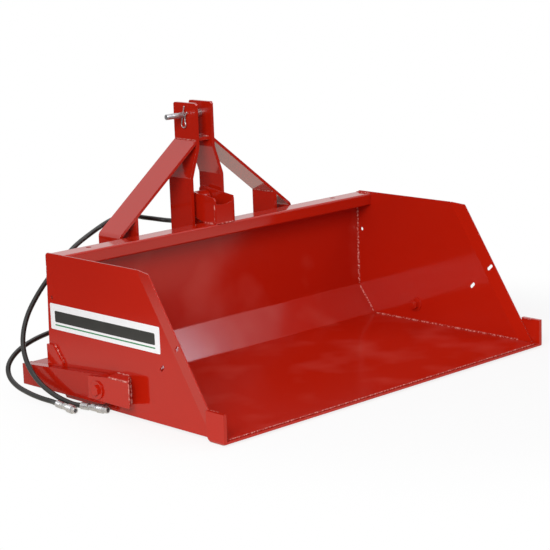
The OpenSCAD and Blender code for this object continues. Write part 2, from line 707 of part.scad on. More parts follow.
// Clevis on the rail: a flat plate and a bent bar that is its other side and its front wall
clevis_pin_at = [clevis_pin_y, clevis_pin_z];
clevis_rear_y = clevis_pin_y + clevis_tail;
clevis_mid_y = (clevis_front_y + clevis_rear_y) / 2;
clevis_rise_share = 0.133;
function clevis_top_at(y) = clevis_pin_z + clevis_head + (y - clevis_pin_y) * clevis_rise_share;
// Points of the front wall's top edge: shares of the half width, and of the clevis's height in front
clevis_lip_shares = [[-1.1, 0], [-1, 0], [-0.27, -0.05], [0.33, -0.02], [0.82, 0.08], [1.1, 0.22]];
clevis_front_h = clevis_top_at(clevis_front_y) - rail_z;
// Lower and rear edge, and the rear half of the top edge
clevis_back = concat([[clevis_front_y + clevis_foot, rail_z]], bend_face([
    [clevis_front_y + clevis_foot, rail_z], [clevis_rear_y, clevis_pin_z - clevis_tail],
    [clevis_rear_y, clevis_top_at(clevis_rear_y)], [clevis_mid_y, clevis_top_at(clevis_mid_y)]
], 0, 0, clevis_corner_r, 6));
module clevis_hole() translate(clevis_pin_at) disc(cyl_pin_d / 2 + fast_gap);
module clevis_side_plate() red() shift() slab(-clevis_x, clevis_t) {
    front_y = clevis_front_y + clevis_t;
    difference() {
        polygon(concat([[front_y, rail_z]], clevis_back, bend_face([
            [clevis_mid_y, clevis_top_at(clevis_mid_y)], [front_y, clevis_top_at(front_y)],
            [front_y, rail_z]
        ], 0, 0, clevis_corner_r / 1.5, 6)));
        clevis_hole();
    }
}
module clevis_bent_bar() red() shift() difference() {
    intersection() {
        translate([0, 0, rail_z]) linear_extrude(2 * clevis_front_h)
            polygon(strip([[-clevis_x, clevis_front_y], [clevis_x, clevis_front_y],
                [clevis_x, clevis_rear_y]], clevis_t, clevis_t));
        slab(-clevis_x - over, 2 * (clevis_x + over)) difference() {
            polygon(concat([[clevis_front_y, rail_z]], clevis_back,
                [[clevis_front_y, clevis_top_at(clevis_front_y)]]));
            clevis_hole();
        }
    }
    bar(clevis_front_y - over, clevis_t + 2 * over) polygon(concat(
        [for (lip = clevis_lip_shares) [lip[0] * clevis_x, clevis_pin_z + lip[1] * clevis_front_h]],
        [[clevis_x + 2 * clevis_t, clevis_pin_z + clevis_front_h],
            [-clevis_x - 2 * clevis_t, clevis_pin_z + clevis_front_h]]
    ));
}
module at_clevis_pin() translate([0, clevis_pin_y, clevis_pin_z]) children();
clevis_pin_x = clevis_x + ring_t + pin_over;
module clevis_pin() steel() shift() at_clevis_pin() pin_x(cyl_pin_d / 2, -clevis_pin_x, 2 * clevis_pin_x);
module clevis_pin_rings() steel() shift() at_clevis_pin() both_sides()
    ring_x(cyl_pin_d / 2 + ring_wall, cyl_pin_d / 2, -clevis_x - ring_t, ring_t);

// Ports, hose ends and hoses
boss_sink = 3;
boss_y = base_pin_y + barrel_d / 2 - boss_sink;
boss_d = 26;
boss_l = 13;
adaptor_y = boss_y + boss_l;
adaptor_af = 19;
adaptor_nose_d = 16;
adaptor_l = 19;
hose_end_y = adaptor_y + adaptor_l;
hose_end_l = 45;
swivel_af = 22;
swivel_l = 14;
stem_d = 18;
stem_l = 6;
crimp_r = hose_d * 0.7;
module hex_y(af, y, l) translate([0, y, 0]) rotate([-90, 0, 0]) linear_extrude(l) hex(af);
module port_adaptors() steel() shift() for (z = [port_low_z, port_high_z]) translate([0, 0, z])
    difference() {
        union() {
            intersection() {
                rod_y(boss_d / 2, boss_y - over, boss_l + over);
                translate([-barrel_d, base_pin_y, -barrel_d]) difference() {
                    cube([2 * barrel_d, barrel_d, 2 * barrel_d]);
                    translate([barrel_d, 0, -over])
                        cylinder(d = barrel_d, h = 2 * (barrel_d + over), $fn = round_fn);
                }
            }
            hex_y(adaptor_af, adaptor_y - over, adaptor_l / 2 + over);
            rod_y(adaptor_nose_d / 2, adaptor_y + adaptor_l / 2 - over, adaptor_l / 2 + over);
        }
        rod_y(port_r, base_pin_y, barrel_d + hose_end_l);
    }
module hose_end(z) shift() translate([0, 0, z]) {
    hex_y(swivel_af, hose_end_y, swivel_l);
    rod_y(stem_d / 2, hose_end_y + swivel_l - over, stem_l + over);
    rod_y(crimp_r, hose_end_y + swivel_l + stem_l - over, hose_end_l - swivel_l - stem_l + over);
}
module hose_end_upper() steel() hose_end(port_high_z);
module hose_end_lower() steel() hose_end(port_low_z);

hose_y = hose_end_y + hose_end_l;
hose_sides = 10;
hose_steps = 2;
upper_route = [
    [0, hose_y, port_high_z], [-6, 1008, 431], [-24, 1035, 434], [-53, 1055, 441], [-90, 1061, 450],
    [-135, 1055, 463], [-198, 1034, 474], [-280, 1002, 474], [-370, 980, 453], [-460, 965, 420],
    [-530, 954, 378], [-590, 947, 335], [-640, 942, 290], [-685, 932, 242], [-720, 914, 192],
    [-742, 888, 145], [-756, 845, 98], [-760, 785, 57], [-757, 715, 30], [-748, 648, 15],
    [-740, 609, 14]
];
lower_route = [
    [0, hose_y, port_low_z], [-6, 1008, 165], [-24, 1035, 165], [-53, 1055, 164], [-90, 1061, 163],
    [-135, 1058, 161], [-210, 1045, 159], [-320, 1022, 158], [-460, 998, 156], [-580, 980, 151],
    [-660, 968, 140], [-722, 957, 120], [-764, 943, 91], [-781, 918, 61], [-784, 875, 38],
    [-784, 815, 26], [-780, 760, 19], [-773, 715, 15], [-777, 680, 15]
];
upper_end = unit(upper_route[len(upper_route) - 1] - upper_route[len(upper_route) - 2]);
lower_end = unit(lower_route[len(lower_route) - 1] - lower_route[len(lower_route) - 2]);
module hose(route, last_dir) color("dimgray") shift()
    tube(smooth(route, hose_steps), hose_d / 2, hose_sides, [0, 1, 0], last_dir);
module hose_upper() hose(upper_route, upper_end);
module hose_lower() hose(lower_route, lower_end);

module at_hose_end(route, d) shift() translate(route[len(route) - 1])
    rotate([0, 90, atan2(d[1], d[0])]) children();
neck_r = 7;
coupler_wall = 4;
plug_d = 22;
socket_d = 20;
module ferrule() {
    cylinder(r = crimp_r, h = ferrule_l * 0.7, $fn = round_fn);
    translate([0, 0, ferrule_l * 0.7 - over])
        cylinder(r = neck_r, h = ferrule_l * 0.3 + over, $fn = round_fn);
}
module coupler(nose_r) difference() {
    union() {
        hex_head(coupler_d * 0.86, coupler_l * 0.25);
        translate([0, 0, coupler_l * 0.25 - over])
            cylinder(r = nose_r, h = coupler_l * 0.75 + over, $fn = round_fn);
        translate([0, 0, coupler_l * 0.4]) cylinder(d = coupler_d, h = coupler_l * 0.35, $fn = round_fn);
    }
    translate([0, 0, coupler_l * 0.7]) cylinder(r = nose_r - coupler_wall, h = coupler_l, $fn = round_fn);
}
module ferrule_upper() steel() at_hose_end(upper_route, upper_end) ferrule();
module ferrule_lower() steel() at_hose_end(lower_route, lower_end) ferrule();
module past_ferrule() translate([0, 0, ferrule_l]) children();
module coupler_upper() steel() at_hose_end(upper_route, upper_end) past_ferrule() coupler(plug_d / 2);
module coupler_lower() steel() at_hose_end(lower_route, lower_end) past_ferrule() coupler(socket_d / 2);

// Top pin with its head and its sleeve, and the spring clip through its tail
clip_gap = 5;
clip_x = mast_top_x + clip_gap + clip_d / 2;
clip_hole_r = clip_d / 2 + run_gap;
pin_head_t = 6;
pin_head_d = 32;
module at_top_pin() translate([0, hitch_y, top_pin_z]) children();
module along_clip() rotate([clip_lean, 0, 0]) children();
module top_link_pin() steel() shift() at_top_pin() difference() {
    union() {
        pin_x(top_pin_d / 2, -mast_top_x - pin_tail, 2 * mast_top_x + pin_tail + pin_head_t);
        rod_x(pin_head_d / 2, mast_top_x, pin_head_t);
        rod_x(top_pin_d * 0.6, mast_top_x + pin_head_t - over, pin_head_t + over);
    }
    along_clip() translate([-clip_x, 0, -top_pin_d])
        cylinder(r = clip_hole_r, h = 2 * top_pin_d, $fn = round_fn);
}
sleeve_x = mast_top_x - mast_t - seat_gap;
module top_pin_sleeve() steel() shift() at_top_pin()
    ring_x(sleeve_d / 2, top_pin_d / 2 + run_gap, -sleeve_x, 2 * sleeve_x);
loop_turn = 200;
// Clip points: down the straight leg, round the loop, and up past the pin
clip_reach = top_pin_d / 2 + clip_d / 2 + run_gap;
clip_points = concat(
    [for (share = [-1, -0.5, 0]) [share * clip_leg, 0]], [[clip_drop / 2, 0]],
    [for (k = [0:8]) [clip_drop, clip_loop_r] + clip_loop_r * turned([0, -1], loop_turn * k / 8)],
    [for (share = [0.7, 0.45, 0.25]) [share * clip_drop, clip_loop_r * 1.1 + (share - 0.25) * clip_loop_r]],
    [for (share = [0, -0.2, -0.5]) [share * clip_leg, clip_reach * (1.03 - share)]]
);
clip_last = len(clip_points) - 1;
function on_clip(p) = let(yz = turned([-p[1], -p[0]], clip_lean)) [0, yz[0], yz[1]];
module r_clip() steel() shift() at_top_pin() translate([-clip_x, 0, 0])
    tube([for (p = clip_points) on_clip(p)], clip_d / 2, 10,
        on_clip([1, 0]), on_clip(unit(clip_points[clip_last] - clip_points[clip_last - 1])));

bucket_shell();
side_plate_left();
side_plate_right();
top_rail();
cutting_edge();
skid_left();
skid_right();
pivot_bracket_left();
pivot_bracket_right();
rest_stop_left();
rest_stop_right();
clevis_side_plate();
clevis_bent_bar();
pivot_bolts();
pivot_discs();
pivot_inner_washers();
pivot_nuts();
pivot_bushes();
arm_left();
arm_right();
cross_beam();
mast_plate_left();
mast_plate_right();
mast_spacer();
brace_left();
brace_right();
hitch_ear_left();
hitch_ear_right();
cylinder_lugs();
base_pin();
base_pin_rings();
cylinder_barrel();
cylinder_gland();
cylinder_rod();
rod_eye();
cylinder_piston();
clevis_pin();
clevis_pin_rings();
port_adaptors();
hose_upper();
hose_lower();
hose_end_upper();
hose_end_lower();
ferrule_upper();
ferrule_lower();
coupler_upper();
coupler_lower();
top_link_pin();
top_pin_sleeve();
r_clip();
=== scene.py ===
"""Looks of the rear tipping bucket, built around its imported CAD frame.

Lengths are in metres. Places in millimetres use the part's own counting, in which Y runs from
the front edge of the floor; at() turns them into the frame's metres.
"""

import json
import math

import bmesh
import bpy
from mathutils import Matrix, Vector


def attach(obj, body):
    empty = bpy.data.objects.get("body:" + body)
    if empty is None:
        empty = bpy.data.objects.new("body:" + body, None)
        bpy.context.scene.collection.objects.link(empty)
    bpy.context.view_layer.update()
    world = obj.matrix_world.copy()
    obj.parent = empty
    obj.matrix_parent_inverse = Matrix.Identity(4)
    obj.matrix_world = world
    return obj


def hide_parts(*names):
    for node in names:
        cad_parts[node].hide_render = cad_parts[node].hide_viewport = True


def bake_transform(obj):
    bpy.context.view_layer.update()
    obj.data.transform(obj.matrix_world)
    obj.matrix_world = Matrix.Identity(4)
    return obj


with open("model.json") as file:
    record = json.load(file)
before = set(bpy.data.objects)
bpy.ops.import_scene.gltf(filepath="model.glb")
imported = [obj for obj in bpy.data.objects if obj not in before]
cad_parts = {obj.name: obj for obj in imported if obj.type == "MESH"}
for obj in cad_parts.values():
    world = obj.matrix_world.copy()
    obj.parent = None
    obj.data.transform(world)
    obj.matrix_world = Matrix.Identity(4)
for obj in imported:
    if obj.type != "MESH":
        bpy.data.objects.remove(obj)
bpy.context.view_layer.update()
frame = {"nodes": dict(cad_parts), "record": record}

MM = 0.001
Y_MID = 462.0


def at(x, y, z):
    """A place in the part's millimetres, as the frame's metres."""
    return Vector((x, y - Y_MID, z)) * MM


def link(obj):
    """Puts an object into the scene."""
    bpy.context.scene.collection.objects.link(obj)
    return obj


# Camera

IMAGE_PIXELS = 550
FOCAL_PIXELS = 1792.0
SENSOR_MM = 36.0
VIEW_END = 100
CAMERA_PLACE = (-3922, -3604, 1511)
CAMERA_AZIMUTH = math.radians(-43.60)
CAMERA_ELEVATION = math.radians(11.99)
CAMERA_ROLL = math.radians(-2.08)


def make_camera():
    """The camera, as it was fitted to the photo's straight edges."""
    a, e, r = CAMERA_AZIMUTH, CAMERA_ELEVATION, CAMERA_ROLL
    back = Vector((math.sin(a) * math.cos(e), -math.cos(a) * math.cos(e), math.sin(e)))
    level = Vector((math.cos(a), math.sin(a), 0))
    rise = back.cross(level)
    right = math.cos(r) * level + math.sin(r) * rise
    up = math.cos(r) * rise - math.sin(r) * level
    data = bpy.data.cameras.new("camera")
    data.sensor_width = SENSOR_MM
    data.lens = SENSOR_MM * FOCAL_PIXELS / IMAGE_PIXELS
    data.clip_end = VIEW_END
    camera = link(bpy.data.objects.new("camera", data))
    turn = Matrix((right, up, back)).transposed().to_4x4()
    camera.matrix_world = Matrix.Translation(at(*CAMERA_PLACE)) @ turn
    bpy.context.scene.camera = camera


# Mesh helpers

SHARP_ANGLE = math.radians(35)


def new_object(name, verts, faces, material, smooth=True):
    mesh = bpy.data.meshes.new(name)
    mesh.from_pydata([tuple(v) for v in verts], [], faces)
    mesh.validate()
    mesh.update()
    obj = link(bpy.data.objects.new(name, mesh))
    mesh.materials.append(material)
    for face in mesh.polygons:
        face.use_smooth = smooth
    return obj


def sharpen(obj):
    """Smooth faces, with a sharp edge wherever two meet at more than the sharp angle."""
    bm = bmesh.new()
    bm.from_mesh(obj.data)
    for face in bm.faces:
        face.smooth = True
    for edge in bm.edges:
        if len(edge.link_faces) == 2:
            edge.smooth = edge.calc_face_angle(0) < SHARP_ANGLE
    bm.to_mesh(obj.data)
    bm.free()


def spline(points, steps):
    """A smooth line through the points, with that many steps a stretch."""
    line = []
    last = len(points) - 1
    for i in range(last):
        a, b = points[max(i - 1, 0)], points[i]
        c, d = points[i + 1], points[min(i + 2, last)]
        slope = c - a
        bend = 2 * a - 5 * b + 4 * c - d
        twist = 3 * b - a - 3 * c + d
        for k in range(steps):
            t = k / steps
            line.append(0.5 * (2 * b + slope * t + bend * t**2 + twist * t**3))
    return line + [points[last]]


def tube_faces(count, sides):
    """The faces between that many rings, and the two caps."""
    faces = []
    for i in range(count - 1):
        for k in range(sides):
            a, b = i * sides + k, i * sides + (k + 1) % sides
            faces.append((a, b, b + sides, a + sides))
    faces.append(tuple(reversed(range(sides))))
    faces.append(tuple((count - 1) * sides + k for k in range(sides)))
    return faces


def sweep(line, radius, sides, first=None, last=None):
    """Points and faces of a closed tube along a line.

    radius is a number or a function of the ring's index. first and last are the directions of
    the tube's ends, where the line's own won't do.
    """
    verts = []
    end = len(line) - 1
    side = None
    for i, p in enumerate(line):
        ahead = line[min(i + 1, end)] - line[max(i - 1, 0)]
        if i == 0 and first is not None:
            ahead = first
        if i == end and last is not None:
            ahead = last
        ahead = ahead.normalized()
        if side is None:
            side = ahead.orthogonal()
        side = (side - ahead * side.dot(ahead)).normalized()
        up = ahead.cross(side)
        r = radius(i) if callable(radius) else radius
        for k in range(sides):
            a = 2 * math.pi * k / sides
            verts.append(p + r * (math.cos(a) * side + math.sin(a) * up))
    return verts, tube_faces(len(line), sides)


def lathe(profile, sides, radius_at=None):
    """Points and faces of a solid turned about +Z. radius_at(r, z, angle) can shape each ring."""
    verts = []
    for r, z in profile:
        for k in range(sides):
            a = 2 * math.pi * k / sides
            q = radius_at(r, z, a) if radius_at else r
            verts.append(Vector((q * math.cos(a), q * math.sin(a), z)))
    return verts, tube_faces(len(profile), sides)


def aimed(place, direction):
    """A matrix that puts +Z along a direction, at a place."""
    turn = direction.normalized().to_track_quat("Z", "Y").to_matrix().to_4x4()
    return Matrix.Translation(place) @ turn


# Node helpers


def feed(tree, value, socket):
    """Sets a socket to a number, or joins another socket to it."""
    if isinstance(value, (int, float)):
        socket.default_value = value
    else:
        tree.links.new(value, socket)


def math_node(tree, operation, *values):
    node = tree.nodes.new("ShaderNodeMath")
    node.operation = operation
    for value, socket in zip(values, node.inputs):
        feed(tree, value, socket)
    return node.outputs[0]


class Nodes:
    """A material's nodes, made and joined with short calls."""

    def __init__(self, name):
        self.material = bpy.data.materials.new(name)
        self.material.use_nodes = True
        self.tree = self.material.node_tree
        self.shader = self.tree.nodes["Principled BSDF"]
        self.place = self.add("ShaderNodeTexCoord").outputs["Object"]

    def add(self, kind, **values):
        node = self.tree.nodes.new(kind)
        for key, value in values.items():
            if key in node.inputs:
                node.inputs[key].default_value = value
            else:
                setattr(node, key, value)
        return node

    def join(self, a, b):
        self.tree.links.new(a, b)

    def put(self, name, value):
        """Sets or joins one input of the shader."""
        feed(self.tree, value, self.shader.inputs[name])

    def noise(self, scale, detail=3.0, rough=0.5):
        node = self.add("ShaderNodeTexNoise", Scale=scale, Detail=detail, Roughness=rough)
        self.join(self.place, node.inputs["Vector"])
        return node.outputs["Fac"]

    def ramp(self, value, stops):
        node = self.add("ShaderNodeValToRGB")
        self.join(value, node.inputs["Fac"])
        elements = node.color_ramp.elements
        while len(elements) < len(stops):
            elements.new(0.5)
        for element, (place, colour) in zip(elements, stops):
            element.position = place
            element.color = (*colour, 1)
        return node.outputs["Color"]

    def remap(self, value, low, high):
        """0 to 1 becomes low to high."""
        node = self.add("ShaderNodeMapRange", **{"To Min": low, "To Max": high})
        self.join(value, node.inputs["Value"])
        return node.outputs["Result"]

    def fading(self, distance, reach):
        """1 up to the first distance of reach, 0 from the second on."""
        ends = dict(zip(("From Min", "From Max", "To Min", "To Max"), (*reach, 1, 0)))
        node = self.add("ShaderNodeMapRange", interpolation_type="SMOOTHSTEP", **ends)
        self.join(distance, node.inputs["Value"])
        return node.outputs["Result"]

    def bump(self, height, strength, distance, normal=None):
        node = self.add("ShaderNodeBump", Strength=strength, Distance=distance)
        self.join(height, node.inputs["Height"])
        if normal is not None:
            self.join(normal, node.inputs["Normal"])
        return node.outputs["Normal"]

    def bevel(self, radius):
        return self.add("ShaderNodeBevel", samples=4, Radius=radius).outputs["Normal"]


# Materials


def grey(value):
    return (value, value, value)


PAINT_DEEP = (0.475, 0.012, 0.003)
PAINT_LIGHT = (0.515, 0.0145, 0.004)
# Arm and beam paint: the bucket's red made darker, as painted shade.
ARM_SHADED_DEEP = (0.41, 0.01, 0.003)
ARM_SHADED_LIGHT = (0.45, 0.012, 0.004)
# Weld paint: the pale pink specks of its light tone are painted glints.
WELD_DEEP = (0.42, 0.012, 0.002)
WELD_PAINTED_GLINT = (0.75, 0.3, 0.26)
# Paler pink patches on the bucket's sheet.
SHEET_PALE_PATCH = (0.55, 0.05, 0.035)
SMALL_EDGE = 1.2 * MM
TUBE_EDGE = 3.5 * MM
ZINC_CLOUDS = [
    (0.35, (0.38, 0.38, 0.39)), (0.52, (0.52, 0.52, 0.53)), (0.7, (0.44, 0.42, 0.38)),
]
CHROME_CLOUDS = [(0.3, grey(0.72)), (0.7, grey(0.8))]
RUBBER_DUST = [(0.3, (0.011, 0.0105, 0.0095)), (0.7, (0.018, 0.017, 0.015))]
STICKER_WHITE = (0.96, 0.96, 0.97)
STICKER_DARK = (0.022, 0.022, 0.02)
STICKER_GREEN = (0.03, 0.24, 0.09)


def red_paint(
    name="red_paint",
    edge=SMALL_EDGE,
    peel=0.05,
    deep=PAINT_DEEP,
    light=PAINT_LIGHT,
    grain=2.0,
    stops=(0.3, 0.7),
    gloss=1.36,
    haze=0.1,
):
    """Enamel under a clear gloss: faint colour drift, fine orange peel, and rounded edges. On the
    welds the light tone is a painted glint.
    """
    n = Nodes(name)
    n.put("Base Color", n.ramp(n.noise(grain, detail=2.0), list(zip(stops, (deep, light)))))
    n.put("Roughness", n.remap(n.noise(120.0, detail=2.0), low=0.42, high=0.5))
    n.put("Specular IOR Level", 0.0)
    n.put("Coat Weight", 1.0)
    n.put("Coat Roughness", haze)
    n.put("Coat IOR", gloss)
    normal = n.bump(n.noise(300.0, detail=2.0), peel, distance=0.4 * MM, normal=n.bevel(edge))
    n.put("Normal", normal)
    n.put("Coat Normal", normal)
    return n.material


def zinc():
    """Zinc plated steel with cloudy passivation."""
    n = Nodes("zinc_steel")
    n.put("Base Color", n.ramp(n.noise(60.0, detail=4.0, rough=0.6), ZINC_CLOUDS))
    n.put("Metallic", 0.85)
    n.put("Roughness", n.remap(n.noise(200.0, detail=2.0), low=0.24, high=0.38))
    grain = n.noise(900.0, detail=2.0)
    n.put("Normal", n.bump(grain, strength=0.12, distance=0.2 * MM, normal=n.bevel(0.6 * MM)))
    return n.material


def chrome():
    """Polished chrome with faint wipe marks."""
    n = Nodes("chrome")
    n.put("Base Color", n.ramp(n.noise(30.0), CHROME_CLOUDS))
    n.put("Metallic", 1.0)
    n.put("Roughness", n.remap(n.noise(500.0), low=0.06, high=0.13))
    return n.material


def rubber():
    """Hose cover: dark, a little dusty, with the fine print of its wrapping."""
    n = Nodes("hose_rubber")
    n.put("Base Color", n.ramp(n.noise(45.0, detail=4.0), RUBBER_DUST))
    n.put("Roughness", n.remap(n.noise(80.0, detail=3.0), low=0.24, high=0.36))
    n.put("Normal", n.bump(n.noise(1400.0, detail=2.0), strength=0.2, distance=0.3 * MM))
    return n.material


def sticker(name, colour, drift):
    """Printed film, whose colour drifts up to that many times its own value."""
    n = Nodes(name)
    drifted = tuple(c * drift for c in colour)
    n.put("Base Color", n.ramp(n.noise(25.0, detail=2.0), [(0.3, colour), (0.7, drifted)]))
    n.put("Roughness", n.remap(n.noise(60.0), low=0.25, high=0.35))
    n.put("Normal", n.bump(n.noise(30.0, detail=1.0), strength=0.05, distance=1 * MM))
    return n.material


# Hoses with their ferrules and couplers

HOSE_RADIUS = 8 * MM
HOSE_SIDES = 20
HOSE_STEPS = 6
UPPER_ROUTE = [
    (0, 976.7, 430), (-6, 1008, 431), (-24, 1035, 434), (-53, 1055, 441), (-90, 1061, 450),
    (-135, 1055, 463), (-198, 1034, 474), (-280, 1002, 474), (-370, 980, 453), (-460, 965, 420),
    (-530, 954, 378), (-590, 947, 335), (-640, 942, 290), (-685, 932, 242), (-720, 914, 192),
    (-742, 888, 145), (-756, 845, 98), (-760, 785, 57), (-757, 715, 30), (-748, 648, 15),
    (-740, 609, 14),
]
LOWER_ROUTE = [
    (0, 976.7, 165), (-6, 1008, 165), (-24, 1035, 165), (-53, 1055, 164), (-90, 1061, 163),
    (-135, 1058, 161), (-210, 1045, 159), (-320, 1022, 158), (-460, 998, 156), (-580, 980, 151),
    (-660, 968, 140), (-722, 957, 120), (-764, 943, 91), (-781, 918, 61), (-784, 875, 38),
    (-784, 815, 26), (-780, 760, 19), (-773, 715, 15), (-777, 680, 15),
]

FERRULE_L = 40 * MM
FERRULE_SIDES = 32
CRIMP_R = 11.2 * MM
WAIST_R = CRIMP_R * 0.93
LIP_R = CRIMP_R * 0.96
CRIMPS = 4
CRIMP_START = 4 * MM
CRIMP_STEP = 6 * MM
CRIMP_PROFILE = [(CRIMP_R, 0), (WAIST_R, 0.8 * MM), (WAIST_R, 3.4 * MM), (CRIMP_R, 4.2 * MM)]
SLEEVE_END = FERRULE_L * 0.7
SHOULDER_R = 8.2 * MM
TAIL_R = 7 * MM
STEP = 1 * MM

COUPLER_R = 13.5 * MM
COUPLER_SIDES = 48
HEX_CORNER = COUPLER_R * 0.86
HEX_FLAT = HEX_CORNER * math.sqrt(3) / 2
HEX_END = 15 * MM
GROOVE = 1.5 * MM
GROOVE_Z = (19 * MM, 22 * MM)
NECK_END = 25 * MM
RIDGES = 6
RIDGE_START = 26 * MM
RIDGE_STEP = 3.6 * MM
RIDGE_ROOT = COUPLER_R - STEP
RIDGE_PROFILE = [(RIDGE_ROOT, 0), (COUPLER_R, 0.9 * MM), (COUPLER_R, 2.4 * MM)]
RIDGE_END = RIDGE_START + RIDGES * RIDGE_STEP
NOSE_Z = (61 * MM, 64 * MM)
NOSE_WALL = 4 * MM
MOUTH_Z = (50 * MM, 49 * MM)
VALVE_R = 2 * MM


def repeated(profile, start, step, count):
    """A stretch of a profile again and again along Z."""
    return [(r, start + step * k + z) for k in range(count) for r, z in profile]


def ferrule_profile():
    """Crimped sleeve: a lip, pressed waists and the step down to the coupler."""
    return [
        (HOSE_RADIUS, 0), (LIP_R, 0), (CRIMP_R, STEP),
        *repeated(CRIMP_PROFILE, CRIMP_START, CRIMP_STEP, CRIMPS),
        (CRIMP_R, SLEEVE_END), (SHOULDER_R, SLEEVE_END + STEP), (TAIL_R, SLEEVE_END + 2 * STEP),
        (TAIL_R, FERRULE_L),
    ]


def coupler_profile(nose):
    """Quick coupler half: hexagon, grooved body, knurled collar and open nose."""
    low, high = GROOVE_Z
    bevel, tip = NOSE_Z
    return [
        (TAIL_R, 0), (HEX_CORNER - STEP, 0), (HEX_CORNER, STEP), (HEX_CORNER, HEX_END),
        (nose, HEX_END + STEP), (nose, low - STEP), (nose - GROOVE, low),
        (nose - GROOVE, high), (nose, high + STEP), (nose, NECK_END),
        *repeated(RIDGE_PROFILE, RIDGE_START, RIDGE_STEP, RIDGES),
        (RIDGE_ROOT, RIDGE_END), (nose, RIDGE_END + STEP),
        (nose, bevel), (nose - STEP, tip), (nose - NOSE_WALL, tip),
        (nose - NOSE_WALL, MOUTH_Z[0]), (VALVE_R, MOUTH_Z[1]),
    ]


def hexagon(r, z, a):
    """Shapes the coupler's rings up to the hexagon's end, and leaves the rest round."""
    if z > HEX_END + STEP / 2:
        return r
    local = (a + math.pi / 6) % (math.pi / 3) - math.pi / 6
    return min(r, HEX_FLAT / math.cos(local))


def make_hose(which, route, nose):
    points = [at(*p) for p in route]
    end = (points[-1] - points[-2]).normalized()
    line = spline(points, HOSE_STEPS)
    verts, faces = sweep(line, HOSE_RADIUS, HOSE_SIDES, Vector((0, 1, 0)), end)
    hose = new_object(f"hose_{which}_cover", verts, faces, RUBBER)
    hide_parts(f"hose_{which}")

    level = Vector((end.x, end.y, 0)).normalized()
    place = aimed(points[-1], level)
    verts, faces = lathe(ferrule_profile(), FERRULE_SIDES)
    ferrule = new_object(f"ferrule_{which}_crimped", [place @ v for v in verts], faces, ZINC)
    place = aimed(points[-1] + level * FERRULE_L, level)
    verts, faces = lathe(coupler_profile(nose), COUPLER_SIDES, hexagon)
    coupler = new_object(f"coupler_{which}_turned", [place @ v for v in verts], faces, ZINC)
    for piece, node in ((ferrule, f"ferrule_{which}"), (coupler, f"coupler_{which}")):
        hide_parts(node)
        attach(piece, "frame")
        sharpen(piece)

    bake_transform(hose)


make_camera()
RED = red_paint()
# Arms and cross beam: a darker copy of the red paint, as painted shade.
ARM_SHADED_RED = red_paint("red_arm_painted_shade", edge=TUBE_EDGE, deep=ARM_SHADED_DEEP, light=ARM_SHADED_LIGHT, gloss=1.27)
RAIL_RED = red_paint("red_rail", edge=TUBE_EDGE, gloss=1.47)
MAST_RED = red_paint("red_mast", gloss=1.58)
# Bucket sheet: red with scattered patches of paler pink.
SHEET_RED = red_paint("red_sheet", light=SHEET_PALE_PATCH, grain=5.0, stops=(0.5, 0.85), haze=0.16)
# Welds: rippled red beads, flecked with painted glints.
WELD_RED = red_paint(
    "red_weld", peel=0.15, deep=WELD_DEEP, light=WELD_PAINTED_GLINT, grain=140.0, stops=(0.46, 0.64)
)
ZINC = zinc()
CHROME = chrome()
RUBBER = rubber()
make_hose("upper", UPPER_ROUTE, nose=11 * MM)
make_hose("lower", LOWER_ROUTE, nose=10 * MM)


# CAD nodes

SLOT_MATERIALS = {
    "red_paint": RED,
    "zinc_steel": ZINC,
    "chrome": CHROME,
    "hose_rubber": RUBBER,
}
NODE_MATERIALS = {
    # arms and beam take the darker paint, which is painted shade
    "arm_left": ARM_SHADED_RED,
    "arm_right": ARM_SHADED_RED,
    "cross_beam": ARM_SHADED_RED,
    "top_rail": RAIL_RED,
    "brace_left": MAST_RED,
    "brace_right": MAST_RED,
    "mast_plate_right": MAST_RED,
    "mast_spacer": MAST_RED,
    "bucket_shell": SHEET_RED,
}


def dress_nodes():
    """Each node gets its own material where it has one, or else its slot's."""
    for subpart in frame["record"]["subparts"]:
        obj = frame["nodes"][subpart["node"]]
        material = NODE_MATERIALS.get(subpart["node"], SLOT_MATERIALS[subpart["material_slot"]])
        for slot in obj.material_slots:
            slot.material = material


dress_nodes()


# Weld beads

BEAD_STEP = 1.8 * MM
BEAD_SIDES = 10
BEAD_END_SHARE = 0.5
BEAD_END_STEPS = 3
PULSE_STEPS = 3
PULSE_DEPTH = 0.28
WANDER = ((0.1, 1, 0.23), (0.05, 3, 0.61))
SEED_STEP = 0.37


def bead(line, radius, seed):
    """A weld bead along a line: a half buried rope that swells and falls off at each pulse."""
    points = []
    for a, b in zip(line, line[1:]):
        count = max(2, round((b - a).length / BEAD_STEP))
        points += [a + (b - a) * k / count for k in range(count)]
    points.append(line[-1])
    last = len(points) - 1

    def swell(i):
        grown = (1 - BEAD_END_SHARE) * min(i, last - i) / BEAD_END_STEPS
        taper = min(1.0, BEAD_END_SHARE + grown)
        wander = 1 + sum(size * math.sin(seed * m + i * rate) for size, m, rate in WANDER)
        ripple = 1 - PULSE_DEPTH * (i % PULSE_STEPS) / PULSE_STEPS
        return radius * taper * wander * ripple

    return sweep(points, swell, BEAD_SIDES)


class Welds:
    """Collects the beads of one body into one piece. Places and radii are in millimetres."""

    def __init__(self, body):
        self.body = body
        self.verts = []
        self.faces = []

    def add(self, *line, radius):
        start = len(self.verts)
        verts, faces = bead([at(*p) for p in line], radius * MM, start * SEED_STEP)
        self.verts += verts
        self.faces += [tuple(i + start for i in face) for face in faces]

    def both(self, *line, radius):
        """A bead on the left, and its mirror image on the right."""
        self.add(*line, radius=radius)
        self.add(*[(-x, y, z) for x, y, z in line], radius=radius)

    def finish(self):
        obj = new_object(f"welds_{self.body}", self.verts, self.faces, WELD_RED)
        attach(obj, self.body)


HALF_W = 700
PLATE_T = 4
PLATE_OUT_X = -HALF_W - 2
SEAM_X = -HALF_W + PLATE_T + 1
FOLD_X = 690

